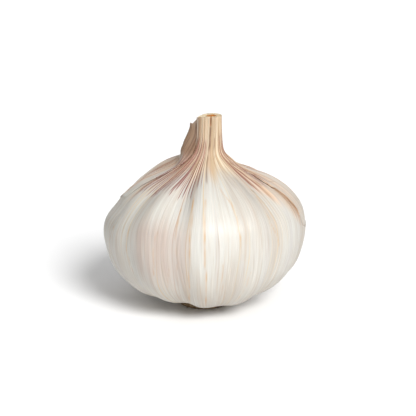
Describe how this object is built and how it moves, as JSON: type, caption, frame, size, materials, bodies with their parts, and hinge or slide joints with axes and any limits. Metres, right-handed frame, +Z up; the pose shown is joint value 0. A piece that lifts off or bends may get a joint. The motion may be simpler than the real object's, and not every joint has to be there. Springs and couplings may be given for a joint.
{
  "type": "garlic bulb",
  "caption": "Whole dry garlic bulb in its papery skins, with a cut neck, standing on its root plate.",
  "frame": {"origin": "middle of the root plate's flat underside, on the surface that the bulb stands on", "axes": "+Z up through the neck, -Y towards the front, which is the side with the split in the neck's cut end, +X to the right as seen from the front"},
  "size_m": [0.0589, 0.057, 0.055],
  "materials": {
    "wrapper_skin": "satin",
    "outer_skin": "satin",
    "dry_stalk": "matte",
    "root_plate": "matte"
  },
  "bodies": {
    "root": {"bulb": "wrapper_skin", "left_sheath": "outer_skin", "right_sheath": "outer_skin", "dry_stalk": "dry_stalk", "root_plate": "root_plate"}
  },
  "joints": []
}
